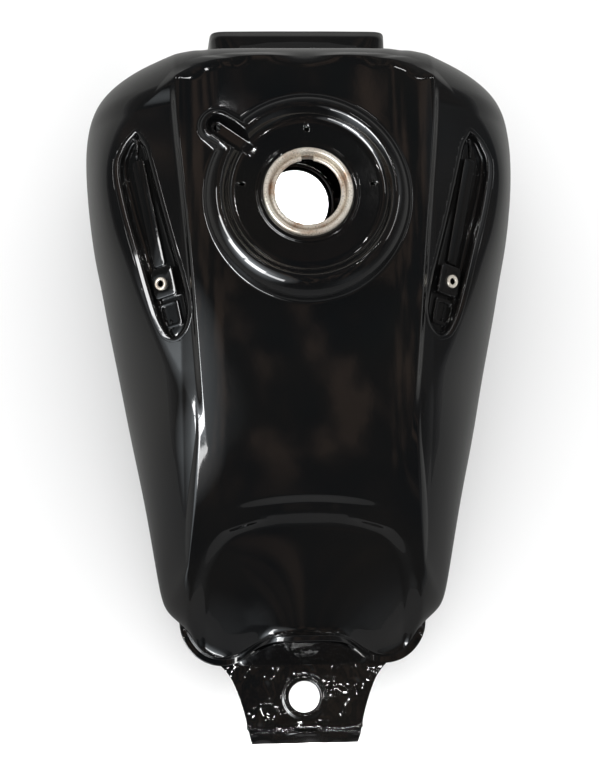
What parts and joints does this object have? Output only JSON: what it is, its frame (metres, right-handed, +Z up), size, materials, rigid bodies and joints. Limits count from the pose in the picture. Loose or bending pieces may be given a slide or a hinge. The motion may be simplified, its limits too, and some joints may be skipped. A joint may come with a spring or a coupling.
{
  "type": "motorcycle fuel tank",
  "caption": "Welded steel motorcycle fuel tank with recessed filler dish, side cover recesses, scooped rear for the seat nose, frame tunnel below and a rear mounting plate with a hole.",
  "frame": {"origin": "centre of the tank's footprint at the height of its lowest seam edge, on the centre plane between left and right", "axes": "+Y towards the front of the motorcycle, +Z up with the tank upright on its seams, +X to the rider's right"},
  "size_m": [0.3504, 0.582, 0.246],
  "materials": {
    "gloss_black_paint": "high gloss black enamel over pressed steel",
    "bare_steel": "bare turned steel, slightly tarnished",
    "zinc_plated_steel": "zinc plated, satin"
  },
  "bodies": {
    "root": {"cap_screw_nut_front": "zinc_plated_steel", "cap_screw_nut_left": "zinc_plated_steel", "cap_screw_nut_right": "zinc_plated_steel", "drain_tube": "zinc_plated_steel", "filler_neck": "bare_steel", "front_harness_clip": "zinc_plated_steel", "left_bottom_pan": "gloss_black_paint", "left_cover_bracket": "gloss_black_paint", "left_cover_nut": "bare_steel", "left_front_mount_cup": "gloss_black_paint", "left_lower_tab": "gloss_black_paint", "left_pocket_tray": "gloss_black_paint", "outer_shell": "gloss_black_paint", "outlet_flange": "zinc_plated_steel", "outlet_nut_front": "zinc_plated_steel", "outlet_nut_rear": "zinc_plated_steel", "rear_bracket_doubler": "gloss_black_paint", "rear_harness_clip": "zinc_plated_steel", "rear_mount_bracket": "gloss_black_paint", "right_bottom_pan": "gloss_black_paint", "right_cover_bracket": "gloss_black_paint", "right_cover_nut": "bare_steel", "right_front_mount_cup": "gloss_black_paint", "right_lower_tab": "gloss_black_paint", "right_pocket_tray": "gloss_black_paint", "sender_ring": "zinc_plated_steel", "sender_stud_1": "zinc_plated_steel", "sender_stud_2": "zinc_plated_steel", "sender_stud_3": "zinc_plated_steel", "sender_stud_4": "zinc_plated_steel", "tunnel_shell": "gloss_black_paint", "vent_tube": "zinc_plated_steel"}
  },
  "joints": []
}
